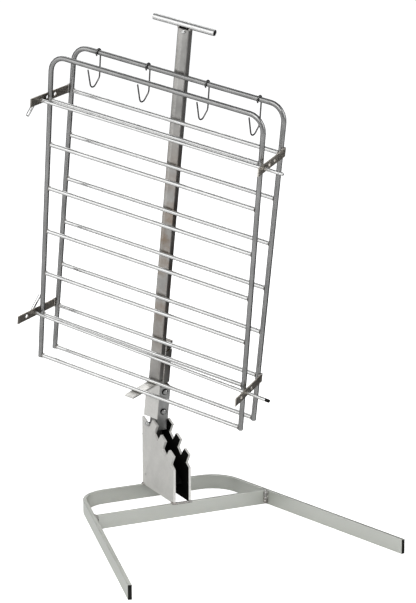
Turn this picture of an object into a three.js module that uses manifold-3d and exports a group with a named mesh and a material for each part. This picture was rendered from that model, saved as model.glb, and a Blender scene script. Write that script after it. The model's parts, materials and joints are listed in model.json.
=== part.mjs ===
// Standing roasting rack: a steel U base with a toothed bracket, a mast that leans and turns in it,
// and two upright wire grids on the mast that hold the meat between them.
//
// Millimetres, +Z up, -Y is the front. The origin is the middle of the cross bar's underside.
// The mast leans about the cross pin and turns about its own axis, so it is built in two nested
// groups: inside the lean group +Z runs up the mast, and inside the turn group +X runs along the
// grids' width and -Y points out of the back grid towards the front one.

import * as THREE from 'three';
import { mergeVertices } from 'three/addons/utils/BufferGeometryUtils.js';
import Module from 'manifold-3d';

const wasm = await Module();
wasm.setup();

// ---- Driving dimensions ----

const FIT_GAP = 0.3; // between pieces that touch, are welded or slide on each other

// Base, flat bar on edge
const BAR_HEIGHT = 35;
const BAR_THICKNESS = 9.5;
const LEG_SPREAD = 458.8; // between the legs' middle lines, at the cross bar
const LEG_SPLAY = THREE.MathUtils.degToRad(13.7);
const LEG_LENGTH = 479; // from the cross bar forward
const REAR_BAR_Y = 169.7; // middle line of the rear bar
const BASE_BEND_RADIUS = 70; // inside the bend

// Toothed plates
const PLATE_THICKNESS = 6;
const PLATE_CLEARANCE = 2.2; // between a plate and the foot's side
const PLATE_REAR_HEIGHT = 207;
const PLATE_FRONT_HEIGHT = 120;
const NOTCH_COUNT = 3;
const NOTCH_RUN = 47; // notch to notch, forward
const NOTCH_FALL = 25.5; // notch to notch, down
const TOOTH_TIP = [-18.5, 21.5]; // from the notch, forward and up
const TOOTH_CREST = [-24.5, -10]; // from the tip
const TOOTH_BARB = [15, -23]; // from the crest, undercut
const NOTCH_DEPTH = 1.3; // notch floor below the pin's middle, in pin radii
const NOTCH_OFFSET = 0.3; // notch floor in front of the pin's middle, in pin radii
const DRAIN_HOLE = { y: 155, z: 64, width: 4, height: 9 };
const WEB_THICKNESS = 5;

// Cross pin
const PIN_Y = 134.25;
const PIN_Z = 198;
const PIN_DIAMETER = 10;
const PIN_HEAD_DIAMETER = 17;
const PIN_HEAD_LENGTH = 5;
const PIN_TAIL = 8; // past the plate on the clip's side
const CLIP_WIRE = 2;
const CLIP_GROOVE_DEPTH = 0.8;
const CLIP_TAIL = 14;
const CLIP_STEPS = 12;

// Mast attitude
const LEAN = THREE.MathUtils.degToRad(11.13); // forward
const TURN = THREE.MathUtils.degToRad(-58.4); // about the mast

// Foot, in the lean group
const FOOT_WIDTH = 30;
const FOOT_DEPTH = 40;
const FOOT_SET_FORWARD = 5; // foot tube's middle, in front of the mast's axis
const FOOT_WALL = 3;
const FOOT_BOTTOM = -8;
const FOOT_TOP = 108;
const FOOT_CAP_THICKNESS = 6;
const TONGUE_WALL = 0.7; // beside the pin's bore
const TONGUE_REACH = 60; // below the pin
const TONGUE_TOP = 20;
const BOLT_HEIGHTS = { foot_bolt_lower: 41.6, foot_bolt_upper: 94.6 };
const BOLT_SHANK = 8;
const BOLT_HEAD = 13;
const BOLT_FLANGE = 16;
const BOLT_SEAT = 5; // depth of the shank in the shaft
const SHAFT_DIAMETER = 16;
const SHAFT_BOTTOM = 28;
const SHAFT_TOP = 198;
const WASHER_DIAMETER = 28;
const WASHER_THICKNESS = 2.4;

// Bearing and mast, in the turn group
const BEARING_SIZE = 30;
const BEARING_WALL = 3;
const BEARING_TOP = 198;
const BUSH_LENGTH = 15;
const BEARING_SLOT = 4; // between the bearing tube and its cap
const BEARING_CAP_HEIGHT = 18;
const MAST_WIDTH = 30;
const MAST_DEPTH = 20;
const MAST_WALL = 2;
const MAST_BOTTOM = 127.5;
const MAST_TOP = 1006.7;
const TUBE_CORNER = 3;
const GUARD_WIDTH = 39;
const GUARD_THICKNESS = 3;
const GUARD_BOTTOM = 27.5;
const GUARD_TOP = 115.7;
const GUARD_NECK = 6;
const GUARD_CORNER = 4;
const TAB_WIDTH = 25;
const TAB_THICKNESS = 4.9;
const TAB_OFFSET = -1.5; // middle of the tab, along the grid's width
const TAB_REACH = 135.3; // front end, from the mast's axis
const HANDLE_LENGTH = 165;
const HANDLE_DIAMETER = 15;
const HANDLE_WALL = 2;
const HANDLE_OFFSET = -3.5;
const HANDLE_BOLT = { x: 2.5, below_top: 5.5, head: 10, shank: 5, head_height: 4, reach: 8 };

// Grids
const GRID_BAR = 12;
const GRID_ROD = 10;
const GRID_WIDTH = 576; // between the side bars' middle lines
const GRID_CORNER = 38; // bend of the frame's middle line
const GRID_TOP = 898.5; // top bar's middle, up the mast
const ROD_COUNT = 6; // evenly spaced between the top bar and the bottom rod
const FRONT_GRID_OUT = 64.2; // from the back grid, at the bottom rod
const FRONT_GRID_ASIDE = 4.5;
const FRONT_GRID_LEAN = THREE.MathUtils.degToRad(2.35);

// Strips that carry the locking rods
const STRIP_HEIGHT = 20;
const STRIP_THICKNESS = 3;
const STRIP_REAR = 7; // behind the back grid
const STRIP_FRONT = 150; // in front of the back grid
const STRIP_HOLE_CLEARANCE = 1; // all round the locking rod
const STRIP_HOLES = [56, 86, 116]; // in front of the back grid
const RIGHT_SPLAY = THREE.MathUtils.degToRad(9.4);
const TOP_STRIP_RISE = 3; // above the highest rod
const LEFT_BOTTOM_STRIP_RISE = 6; // above the lowest of the evenly spaced rods
const RIGHT_BOTTOM_STRIP_RISE = -5;

// Locking rods
const LOCK_DIAMETER = 8;
const LOCK_PAST_STRIP = { top: 40, bottom: 53 }; // past the right strip
const LOCK_LEG = 47;
const LOCK_BEND = 8;
const LOCK_STAND_OFF = 8.2; // bent leg's middle, outside the left strip's middle
const LOCK_CAP_LENGTH = 11;
const TOP_LOCK_HOLE = STRIP_HOLES[2];
const BOTTOM_LOCK_HOLE = STRIP_HOLES[1];

// Hooks
const HOOK_WIRE = 3.8;
const HOOK_FROM_SIDE = 68; // outer hooks, from the side bars
const HOOK_FROM_MAST = 81; // inner hooks, from the mast's middle
const HOOK_EYE_CLEARANCE = 0.7; // all round the top bar
const HOOK_HANG = THREE.MathUtils.degToRad(-5.9); // the hooks hang plumb on the leaning frame
const HOOK_WAIST = [-18, -62]; // forward and up from the top bar's middle
const HOOK_BELLY = [8, -94];
const HOOK_TIP = [34, -38];
const HOOK_BEND = 13;
const HOOK_EYE_START = THREE.MathUtils.degToRad(-55); // below the front of the bar
const HOOK_EYE_STEPS = 14;

// Facets
const ROD_SIDES = 12;
const WIRE_SIDES = 8;
const ROUND_SIDES = 24;
const BEND_STEPS = 6;

// ---- Worked out from the above ----

const plateInner = FOOT_WIDTH / 2 + PLATE_CLEARANCE;
const plateOuter = plateInner + PLATE_THICKNESS;
const hookEye = GRID_BAR + 2 * HOOK_EYE_CLEARANCE;
const tongueHalf = PIN_DIAMETER / 2 + FIT_GAP + TONGUE_WALL;
const toothSlope = Math.atan2(NOTCH_FALL, NOTCH_RUN);
const washerBottom = FOOT_TOP + FIT_GAP;
const bearingBottom = washerBottom + WASHER_THICKNESS + FIT_GAP;
const bearingCapBottom = BEARING_TOP + BEARING_SLOT;
const mastRear = BEARING_SIZE / 2 + FIT_GAP;
const mastFront = mastRear + MAST_DEPTH;
const mastMiddle = mastRear + MAST_DEPTH / 2;
const gridPlane = mastFront + FIT_GAP + GRID_BAR / 2;
const rodSetBack = (GRID_BAR - GRID_ROD) / 2;
const tabBottom = GUARD_TOP + FIT_GAP;
const gridBottom = tabBottom + TAB_THICKNESS + FIT_GAP + GRID_ROD / 2;
const rodPitch = (GRID_TOP - gridBottom) / (ROD_COUNT + 1);
const topRodHeight = GRID_TOP - rodPitch;
const lowRodHeight = gridBottom + rodPitch;
const topStripHeight = topRodHeight + TOP_STRIP_RISE;
const sideBarReach = GRID_WIDTH / 2;
const stripFace = sideBarReach + GRID_BAR / 2 + FIT_GAP;

const finishes = {
  base_steel: { color: 0xc4c6bf, roughness: 0.42, metalness: 0.85 },
  bracket_steel: { color: 0xd9d6cf, roughness: 0.5, metalness: 0.75 },
  brushed_steel: { color: 0x9a9a94, roughness: 0.4, metalness: 0.9 },
  polished_steel: { color: 0xd2d2d0, roughness: 0.18, metalness: 1.0 },
  dark_steel: { color: 0x4a4743, roughness: 0.45, metalness: 0.85 },
  bronze: { color: 0x9c7a45, roughness: 0.45, metalness: 0.9 },
};

// ---- Shapes ----

function addPiece(parent, name, geometry, finish) {
  const mesh = new THREE.Mesh(geometry, new THREE.MeshStandardMaterial(finishes[finish]));
  mesh.name = name;
  parent.add(mesh);
  return mesh;
}

function roundedRectangle(path, width, height, radius) {
  const x = width / 2;
  const y = height / 2;
  const quarter = Math.PI / 2;
  path.absarc(x - radius, y - radius, radius, 0, quarter);
  path.absarc(-x + radius, y - radius, radius, quarter, 2 * quarter);
  path.absarc(-x + radius, -y + radius, radius, 2 * quarter, 3 * quarter);
  path.absarc(x - radius, -y + radius, radius, 3 * quarter, 4 * quarter);
  path.closePath();
  return path;
}

function circleHole(x, y, diameter) {
  return new THREE.Path().absarc(x, y, diameter / 2, 0, 2 * Math.PI);
}

function extrudeUp(shape, bottom, top, curveSegments = 4) {
  const geometry = new THREE.ExtrudeGeometry(shape, {
    depth: top - bottom,
    bevelEnabled: false,
    curveSegments,
  });
  return geometry.translate(0, 0, bottom);
}

// The shape's x runs along Y, its y along Z, and its thickness along X
function extrudeSideways(shape, from, to, curveSegments = 8) {
  const basis = new THREE.Matrix4().makeBasis(
    new THREE.Vector3(0, 1, 0),
    new THREE.Vector3(0, 0, 1),
    new THREE.Vector3(1, 0, 0),
  );
  return extrudeUp(shape, from, to, curveSegments).applyMatrix4(basis);
}

// The shape's x runs along X, its y along Z, and its thickness forward, along -Y
function extrudeForward(shape, from, to, curveSegments = 6) {
  return extrudeUp(shape, from, to, curveSegments).rotateX(Math.PI / 2);
}

// A square tube, open at both ends
function squareTube(width, depth, wall, bottom, top) {
  const shape = roundedRectangle(new THREE.Shape(), width, depth, TUBE_CORNER);
  const innerCorner = Math.max(TUBE_CORNER - wall, 0.5);
  shape.holes.push(roundedRectangle(new THREE.Path(), width - 2 * wall, depth - 2 * wall, innerCorner));
  return extrudeUp(shape, bottom, top);
}

// A profile of [radius, height] pairs, turned about Z
function turned(profile, sides = ROUND_SIDES) {
  const points = profile.map(([radius, height]) => new THREE.Vector2(radius, height));
  return new THREE.LatheGeometry(points, sides).rotateX(Math.PI / 2);
}

function ring(innerDiameter, outerDiameter, bottom, top, sides = ROUND_SIDES) {
  const inner = innerDiameter / 2;
  const outer = outerDiameter / 2;
  return turned([[inner, bottom], [outer, bottom], [outer, top], [inner, top], [inner, bottom]], sides);
}

function roundBar(diameter, from, to, sides = ROD_SIDES) {
  const radius = diameter / 2;
  const bar = new THREE.CylinderGeometry(radius, radius, to - from, sides);
  return bar.rotateZ(Math.PI / 2).translate((from + to) / 2, 0, 0);
}

// A line made of stations, each a point and the direction of travel there
class StationLine extends THREE.Curve {
  constructor(stations) {
    super();
    this.stations = stations;
  }

  stationAt(u) {
    return this.stations[Math.round(u * (this.stations.length - 1))];
  }

  getPointAt(u, target = new THREE.Vector3()) {
    return target.copy(this.stationAt(u).point);
  }

  getTangentAt(u, target = new THREE.Vector3()) {
    return target.copy(this.stationAt(u).direction);
  }
}

// Straight runs through the corners, each corner rounded to its radius
function bentStations(corners, radius) {
  const stations = [];
  const directions = [];
  for (let i = 0; i + 1 < corners.length; i += 1) {
    directions.push(corners[i + 1].clone().sub(corners[i]).normalize());
  }
  stations.push({ point: corners[0], direction: directions[0] });
  for (let i = 1; i + 1 < corners.length; i += 1) {
    const before = directions[i - 1];
    const after = directions[i];
    const turn = before.angleTo(after);
    const inward = after.clone().addScaledVector(before, -before.dot(after)).normalize();
    const start = corners[i].clone().addScaledVector(before, -radius * Math.tan(turn / 2));
    const centre = start.clone().addScaledVector(inward, radius);
    for (let step = 0; step <= BEND_STEPS; step += 1) {
      const angle = (turn * step) / BEND_STEPS;
      const point = centre.clone();
      point.addScaledVector(inward, -radius * Math.cos(angle));
      point.addScaledVector(before, radius * Math.sin(angle));
      const direction = before.clone().multiplyScalar(Math.cos(angle));
      direction.addScaledVector(inward, Math.sin(angle));
      stations.push({ point, direction });
    }
  }
  stations.push({ point: corners[corners.length - 1], direction: directions[directions.length - 1] });
  return stations;
}

function bentRod(stations, diameter, sides = ROD_SIDES) {
  const section = new THREE.Shape();
  section.absarc(0, 0, diameter / 2, 0, 2 * Math.PI);
  return new THREE.ExtrudeGeometry(section, {
    steps: stations.length - 1,
    curveSegments: sides / 2,
    extrudePath: new StationLine(stations),
  });
}

// The corners of a line beside another one, to its left where the distance is positive
function besideLine(corners, distance) {
  const up = new THREE.Vector3(0, 0, 1);
  const lefts = [];
  for (let i = 0; i + 1 < corners.length; i += 1) {
    const along = corners[i + 1].clone().sub(corners[i]).normalize();
    lefts.push(up.clone().cross(along));
  }
  return corners.map((corner, i) => {
    const before = lefts[Math.max(i - 1, 0)];
    const after = lefts[Math.min(i, lefts.length - 1)];
    const miter = before.clone().add(after);
    return corner.clone().addScaledVector(miter, distance / (1 + before.dot(after)));
  });
}

function toSolid(geometry) {
  const bare = geometry.clone();
  bare.deleteAttribute('normal');
  bare.deleteAttribute('uv');
  const merged = mergeVertices(bare, 1e-3);
  return new wasm.Manifold(new wasm.Mesh({
    numProp: 3,
    vertProperties: Float32Array.from(merged.attributes.position.array),
    triVerts: Uint32Array.from(merged.index.array),
  }));
}

function toGeometry(solid) {
  const mesh = solid.getMesh();
  const geometry = new THREE.BufferGeometry();
  geometry.setAttribute('position', new THREE.BufferAttribute(mesh.vertProperties, 3));
  geometry.setIndex(new THREE.BufferAttribute(mesh.triVerts, 1));
  return geometry;
}

function drilled(geometry, drills) {
  const cut = drills.reduce((solid, drill) => solid.subtract(toSolid(drill)), toSolid(geometry));
  return toGeometry(cut);
}

// A drill that points forward, along -Y, at a height on the middle line
function forwardDrill(diameter, from, to, x, height) {
  const radius = diameter / 2;
  const drill = new THREE.CylinderGeometry(radius, radius, to - from, ROD_SIDES);
  return drill.translate(x, -(from + to) / 2, height);
}

// ---- Base ----

const legTan = Math.tan(LEG_SPLAY);

function baseBow() {
  const rearHalf = LEG_SPREAD / 2 - REAR_BAR_Y * legTan;
  const frontY = -LEG_LENGTH * Math.cos(LEG_SPLAY);
  const frontHalf = LEG_SPREAD / 2 + LEG_LENGTH * Math.sin(LEG_SPLAY);
  const line = [
    new THREE.Vector3(frontHalf, frontY, 0),
    new THREE.Vector3(rearHalf, REAR_BAR_Y, 0),
    new THREE.Vector3(-rearHalf, REAR_BAR_Y, 0),
    new THREE.Vector3(-frontHalf, frontY, 0),
  ];
  const inner = bentStations(besideLine(line, BAR_THICKNESS / 2), BASE_BEND_RADIUS);
  const outer = bentStations(besideLine(line, -BAR_THICKNESS / 2), BASE_BEND_RADIUS + BAR_THICKNESS);
  const outline = [...outer, ...inner.reverse()].map(({ point }) => new THREE.Vector2(point.x, point.y));
  return extrudeUp(new THREE.Shape(outline), 0, BAR_HEIGHT);
}

function crossBar() {
  const half = BAR_THICKNESS / 2;
  const innerFace = LEG_SPREAD / 2 - half / Math.cos(LEG_SPLAY) - FIT_GAP;
  const front = innerFace + half * legTan;
  const rear = innerFace - half * legTan;
  const shape = new THREE.Shape();
  shape.moveTo(-front, -half);
  shape.lineTo(front, -half);
  shape.lineTo(rear, half);
  shape.lineTo(-rear, half);
  return extrudeUp(shape, 0, BAR_HEIGHT);
}

function toothedPlate(from, to) {
  const front = -BAR_THICKNESS / 2;
  const rear = REAR_BAR_Y + BAR_THICKNESS / 2;
  const bottom = BAR_HEIGHT + FIT_GAP;
  const shape = new THREE.Shape();
  let y = PIN_Y - (NOTCH_OFFSET * PIN_DIAMETER) / 2;
  let z = PIN_Z - (NOTCH_DEPTH * PIN_DIAMETER) / 2;
  const nextNotch = [
    -NOTCH_RUN - TOOTH_TIP[0] - TOOTH_CREST[0] - TOOTH_BARB[0],
    -NOTCH_FALL - TOOTH_TIP[1] - TOOTH_CREST[1] - TOOTH_BARB[1],
  ];
  const lineBy = ([forward, up]) => {
    y += forward;
    z += up;
    shape.lineTo(y, z);
  };
  shape.moveTo(front, bottom);
  shape.lineTo(rear, bottom);
  shape.lineTo(rear, PLATE_REAR_HEIGHT);
  shape.lineTo(y, z);
  for (let notch = 1; notch <= NOTCH_COUNT; notch += 1) {
    lineBy(TOOTH_TIP);
    lineBy(TOOTH_CREST);
    lineBy(TOOTH_BARB);
    if (notch < NOTCH_COUNT) {
      lineBy(nextNotch);
    }
  }
  shape.lineTo(front, PLATE_FRONT_HEIGHT);
  const hole = new THREE.Path();
  hole.absellipse(DRAIN_HOLE.y, DRAIN_HOLE.z, DRAIN_HOLE.width / 2, DRAIN_HOLE.height / 2, 0, 2 * Math.PI);
  shape.holes.push(hole);
  return extrudeSideways(shape, from, to, 5);
}

// The web lies along the notches, as far below the pin as the tongue's rear corner reaches
function stopWeb() {
  const fromNotchLine = toothSlope - LEAN;
  const reach = TONGUE_REACH * Math.cos(fromNotchLine) + tongueHalf * Math.sin(fromNotchLine);
  const along = new THREE.Vector2(Math.cos(toothSlope), Math.sin(toothSlope));
  const up = new THREE.Vector2(-along.y, along.x);
  const top = new THREE.Vector2(PIN_Y, PIN_Z).addScaledVector(up, -reach - FIT_GAP);
  const bottom = top.clone().addScaledVector(up, -WEB_THICKNESS);
  const forward = (PIN_Y - 2 * FIT_GAP) / along.x;
  const back = (REAR_BAR_Y - BAR_THICKNESS - PIN_Y) / along.x;
  const corner = (start, distance) => start.clone().addScaledVector(along, distance);
  const shape = new THREE.Shape([
    corner(bottom, -forward),
    corner(bottom, back),
    corner(top, back),
    corner(top, -forward),
  ]);
  return extrudeSideways(shape, -plateInner + FIT_GAP, plateInner - FIT_GAP);
}

function buildBase(parent) {
  addPiece(parent, 'base_bow', baseBow(), 'base_steel');
  addPiece(parent, 'cross_bar', crossBar(), 'base_steel');
  addPiece(parent, 'left_toothed_plate', toothedPlate(-plateOuter, -plateInner), 'bracket_steel');
  addPiece(parent, 'right_toothed_plate', toothedPlate(plateInner, plateOuter), 'bracket_steel');
  addPiece(parent, 'stop_web', stopWeb(), 'dark_steel');
}

// ---- Pin and foot ----

const clipMiddle = plateOuter + PIN_TAIL / 2;
const grooveRadius = PIN_DIAMETER / 2 - CLIP_GROOVE_DEPTH;

function crossPin() {
  const radius = PIN_DIAMETER / 2;
  const chamfer = 1;
  const tail = plateOuter + PIN_TAIL;
  const grooveHalf = CLIP_WIRE / 2 + FIT_GAP;
  const headBottom = plateOuter + FIT_GAP;
  const headTop = headBottom + PIN_HEAD_LENGTH;
  const headRadius = PIN_HEAD_DIAMETER / 2;
  return turned([
    [0, -tail],
    [radius - chamfer, -tail],
    [radius, -tail + chamfer],
    [radius, -clipMiddle - grooveHalf],
    [grooveRadius, -clipMiddle - grooveHalf],
    [grooveRadius, -clipMiddle + grooveHalf],
    [radius, -clipMiddle + grooveHalf],
    [radius, headBottom],
    [headRadius, headBottom],
    [headRadius, headTop - chamfer],
    [headRadius - chamfer, headTop],
    [0, headTop],
  ], ROD_SIDES).rotateY(Math.PI / 2);
}

// A wire ring in the pin's groove, open at the back, with one straight tail
function pinClip() {
  const radius = grooveRadius + FIT_GAP + CLIP_WIRE / 2;
  const stations = [];
  for (let step = 0; step <= CLIP_STEPS; step += 1) {
    const angle = Math.PI * (-0.75 + (1.5 * step) / CLIP_STEPS);
    const point = new THREE.Vector3(-clipMiddle, -radius * Math.cos(angle), radius * Math.sin(angle));
    const direction = new THREE.Vector3(0, radius * Math.sin(angle), radius * Math.cos(angle)).normalize();
    stations.push({ point, direction });
  }
  const last = stations[CLIP_STEPS];
  const tailEnd = last.point.clone().addScaledVector(last.direction, CLIP_TAIL);
  stations.push({ point: tailEnd, direction: last.direction });
  return bentRod(stations, CLIP_WIRE, WIRE_SIDES);
}

function footTube() {
  const tube = squareTube(FOOT_WIDTH, FOOT_DEPTH, FOOT_WALL, FOOT_BOTTOM, FOOT_TOP);
  tube.translate(0, -FOOT_SET_FORWARD, 0);
  const front = FOOT_SET_FORWARD + FOOT_DEPTH / 2;
  const pinHole = roundBar(PIN_DIAMETER + 2 * FIT_GAP, -FOOT_WIDTH, FOOT_WIDTH);
  const boltHoles = Object.values(BOLT_HEIGHTS).map((height) => forwardDrill(
    BOLT_SHANK + 2 * FIT_GAP,
    front - 2 * FOOT_WALL,
    front + FOOT_WALL,
    0,
    height,
  ));
  return drilled(tube, [pinHole, ...boltHoles]);
}

function footCap() {
  const inset = 2 * (FOOT_WALL + FIT_GAP);
  const shape = roundedRectangle(new THREE.Shape(), FOOT_WIDTH - inset, FOOT_DEPTH - inset, 1);
  shape.holes.push(circleHole(0, FOOT_SET_FORWARD, SHAFT_DIAMETER + 2 * FIT_GAP));
  const cap = extrudeUp(shape, FOOT_TOP - FOOT_CAP_THICKNESS, FOOT_TOP, 8);
  return cap.translate(0, -FOOT_SET_FORWARD, 0);
}

function footTongue() {
  const width = FOOT_WIDTH - 2 * (FOOT_WALL + FIT_GAP);
  const shape = new THREE.Shape();
  shape.moveTo(-tongueHalf, -TONGUE_REACH);
  shape.lineTo(tongueHalf, -TONGUE_REACH);
  shape.lineTo(tongueHalf, TONGUE_TOP);
  shape.lineTo(-tongueHalf, TONGUE_TOP);
  const hole = new THREE.Path();
  hole.absarc(0, 0, PIN_DIAMETER / 2 + FIT_GAP, 0, 2 * Math.PI);
  shape.holes.push(hole);
  return extrudeSideways(shape, -width / 2, width / 2);
}

function footBolt(height) {
  const seat = FOOT_SET_FORWARD + FOOT_DEPTH / 2 + FIT_GAP;
  const tip = SHAFT_DIAMETER / 2 - BOLT_SEAT;
  const bolt = turned([
    [0, tip],
    [BOLT_SHANK / 2, tip],
    [BOLT_SHANK / 2, seat],
    [BOLT_FLANGE / 2, seat],
    [BOLT_FLANGE / 2, seat + 1.5],
    [BOLT_HEAD / 2, seat + 1.5],
    [BOLT_HEAD / 2, seat + 4],
    [BOLT_HEAD / 3, seat + 5.5],
    [0, seat + 5.5],
  ], ROD_SIDES);
  return bolt.rotateX(Math.PI / 2).translate(0, 0, height);
}

function swivelShaft() {
  const radius = SHAFT_DIAMETER / 2;
  const chamfer = 2;
  const shaft = turned([
    [0, SHAFT_BOTTOM],
    [radius, SHAFT_BOTTOM],
    [radius, SHAFT_TOP - chamfer],
    [radius - chamfer, SHAFT_TOP],
    [0, SHAFT_TOP],
  ]);
  const seats = Object.values(BOLT_HEIGHTS).map((height) => forwardDrill(
    BOLT_SHANK + 2 * FIT_GAP,
    radius - BOLT_SEAT - FIT_GAP,
    radius + BOLT_SEAT,
    0,
    height,
  ));
  return drilled(shaft, seats);
}

function buildFoot(parent) {
  addPiece(parent, 'cross_pin', crossPin(), 'polished_steel');
  addPiece(parent, 'pin_clip', pinClip(), 'polished_steel');
  addPiece(parent, 'foot_tube', footTube(), 'brushed_steel');
  addPiece(parent, 'foot_cap', footCap(), 'brushed_steel');
  addPiece(parent, 'foot_tongue', footTongue(), 'bracket_steel');
  Object.entries(BOLT_HEIGHTS).forEach(([name, height]) => {
    addPiece(parent, name, footBolt(height), 'polished_steel');
  });
  addPiece(parent, 'swivel_shaft', swivelShaft(), 'polished_steel');
  const bore = SHAFT_DIAMETER + 2 * FIT_GAP;
  const washer = ring(bore, WASHER_DIAMETER, washerBottom, washerBottom + WASHER_THICKNESS);
  addPiece(parent, 'thrust_washer', washer, 'bronze');
}

// ---- Bearing and mast ----

function bush(bottom) {
  const bore = SHAFT_DIAMETER + 2 * FIT_GAP;
  const outer = BEARING_SIZE - 2 * (BEARING_WALL + FIT_GAP);
  return ring(bore, outer, bottom, bottom + BUSH_LENGTH);
}

function bearingCap() {
  const shape = roundedRectangle(new THREE.Shape(), BEARING_SIZE, BEARING_SIZE, TUBE_CORNER);
  return extrudeUp(shape, bearingCapBottom, bearingCapBottom + BEARING_CAP_HEIGHT);
}

const boltHeight = MAST_TOP - HANDLE_BOLT.below_top;

function mastTube() {
  const tube = squareTube(MAST_WIDTH, MAST_DEPTH, MAST_WALL, MAST_BOTTOM, MAST_TOP);
  tube.translate(0, -mastMiddle, 0);
  const hole = forwardDrill(
    HANDLE_BOLT.shank + 2 * FIT_GAP,
    mastFront - 2 * MAST_WALL,
    mastFront + MAST_WALL,
    HANDLE_BOLT.x,
    boltHeight,
  );
  return drilled(tube, [hole]);
}

// The guard hangs from the mast's front, on a neck at its right side
function frontPlate() {
  const half = GUARD_WIDTH / 2;
  const top = MAST_BOTTOM - FIT_GAP;
  const neck = half - GUARD_NECK;
  const shape = new THREE.Shape();
  shape.moveTo(-half, GUARD_BOTTOM);
  shape.lineTo(half, GUARD_BOTTOM);
  shape.lineTo(half, top);
  shape.lineTo(neck, top);
  shape.lineTo(neck, GUARD_TOP + GUARD_CORNER);
  shape.absarc(neck - GUARD_CORNER, GUARD_TOP + GUARD_CORNER, GUARD_CORNER, 0, -Math.PI / 2, true);
  shape.lineTo(-half, GUARD_TOP);
  return extrudeForward(shape, mastFront - GUARD_THICKNESS, mastFront);
}

function restTab() {
  const length = TAB_REACH - mastRear;
  const tab = new THREE.BoxGeometry(TAB_WIDTH, length, TAB_THICKNESS);
  return tab.translate(TAB_OFFSET, -mastRear - length / 2, tabBottom + TAB_THICKNESS / 2);
}

function tHandle() {
  const bore = HANDLE_DIAMETER - 2 * HANDLE_WALL;
  const tube = ring(bore, HANDLE_DIAMETER, -HANDLE_LENGTH / 2, HANDLE_LENGTH / 2);
  const height = MAST_TOP + FIT_GAP + HANDLE_DIAMETER / 2;
  return tube.rotateY(Math.PI / 2).translate(HANDLE_OFFSET, -mastMiddle, height);
}

function handleBolt() {
  const seat = mastFront + FIT_GAP;
  const bolt = turned([
    [0, seat - HANDLE_BOLT.reach],
    [HANDLE_BOLT.shank / 2, seat - HANDLE_BOLT.reach],
    [HANDLE_BOLT.shank / 2, seat],
    [HANDLE_BOLT.head / 2, seat],
    [HANDLE_BOLT.head / 2, seat + HANDLE_BOLT.head_height / 2],
    [HANDLE_BOLT.head / 3, seat + HANDLE_BOLT.head_height],
    [0, seat + HANDLE_BOLT.head_height],
  ], ROD_SIDES);
  return bolt.rotateX(Math.PI / 2).translate(HANDLE_BOLT.x, 0, boltHeight);
}

function buildMast(parent) {
  const tube = squareTube(BEARING_SIZE, BEARING_SIZE, BEARING_WALL, bearingBottom, BEARING_TOP);
  addPiece(parent, 'bearing_tube', tube, 'brushed_steel');
  addPiece(parent, 'lower_bush', bush(bearingBottom), 'bronze');
  addPiece(parent, 'upper_bush', bush(BEARING_TOP - BUSH_LENGTH), 'bronze');
  addPiece(parent, 'bearing_cap', bearingCap(), 'brushed_steel');
  addPiece(parent, 'mast_tube', mastTube(), 'brushed_steel');
  addPiece(parent, 'front_plate', frontPlate(), 'bracket_steel');
  addPiece(parent, 'rest_tab', restTab(), 'bracket_steel');
  addPiece(parent, 't_handle', tHandle(), 'polished_steel');
  addPiece(parent, 'handle_bolt', handleBolt(), 'polished_steel');
}

// ---- Grids ----

// Inside a grid, Z runs up from the bottom rod and the frame's middle plane is y = 0
function gridFrame() {
  const bottom = -GRID_ROD / 2;
  const top = GRID_TOP - gridBottom;
  const corners = [
    new THREE.Vector3(-sideBarReach, 0, bottom),
    new THREE.Vector3(-sideBarReach, 0, top),
    new THREE.Vector3(sideBarReach, 0, top),
    new THREE.Vector3(sideBarReach, 0, bottom),
  ];
  return bentRod(bentStations(corners, GRID_CORNER), GRID_BAR);
}

function buildGrid(parent, name) {
  addPiece(parent, `${name}_frame`, gridFrame(), 'brushed_steel');
  const reach = sideBarReach - GRID_BAR / 2 - FIT_GAP;
  for (let i = 0; i < ROD_COUNT; i += 1) {
    const height = topRodHeight - i * rodPitch - gridBottom;
    const rod = roundBar(GRID_ROD, -reach, reach).translate(0, rodSetBack, height);
    addPiece(parent, `${name}_rod_${i + 1}`, rod, 'polished_steel');
  }
  const bottomRod = roundBar(GRID_ROD, -reach, reach).translate(0, rodSetBack, 0);
  addPiece(parent, `${name}_bottom_rod`, bottomRod, 'polished_steel');
}

// ---- Strips, locking rods and hooks ----

// Where a hole lies along a strip, so that the holes of a splayed strip line up with a straight one's
function alongStrip(place, splay) {
  return (place + (STRIP_THICKNESS / 2) * Math.sin(splay)) / Math.cos(splay);
}

// The strip's inner face is x = 0 and the back grid's plane is y = 0
function strip(side, splay) {
  const shape = new THREE.Shape();
  shape.moveTo(-STRIP_FRONT, -STRIP_HEIGHT / 2);
  shape.lineTo(STRIP_REAR, -STRIP_HEIGHT / 2);
  shape.lineTo(STRIP_REAR, STRIP_HEIGHT / 2);
  shape.lineTo(-STRIP_FRONT, STRIP_HEIGHT / 2);
  const holeDiameter = LOCK_DIAMETER + 2 * STRIP_HOLE_CLEARANCE;
  STRIP_HOLES.forEach((place) => {
    shape.holes.push(circleHole(-alongStrip(place, splay), 0, holeDiameter));
  });
  const faces = [0, side * STRIP_THICKNESS].sort((a, b) => a - b);
  return extrudeSideways(shape, ...faces);
}

function addStrip(parent, name, side, splay, height) {
  const piece = addPiece(parent, name, strip(side, splay), 'dark_steel');
  piece.position.set(side * stripFace, -gridPlane, height);
  piece.rotation.z = splay;
}

// The left strip's middle plane, and where a hole of the splayed right strip has its middle
const leftStripMiddle = -stripFace - STRIP_THICKNESS / 2;

function rightHoleMiddle(place) {
  const sideways = (STRIP_THICKNESS / 2) * Math.cos(RIGHT_SPLAY);
  return stripFace + sideways + alongStrip(place, RIGHT_SPLAY) * Math.sin(RIGHT_SPLAY);
}

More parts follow.
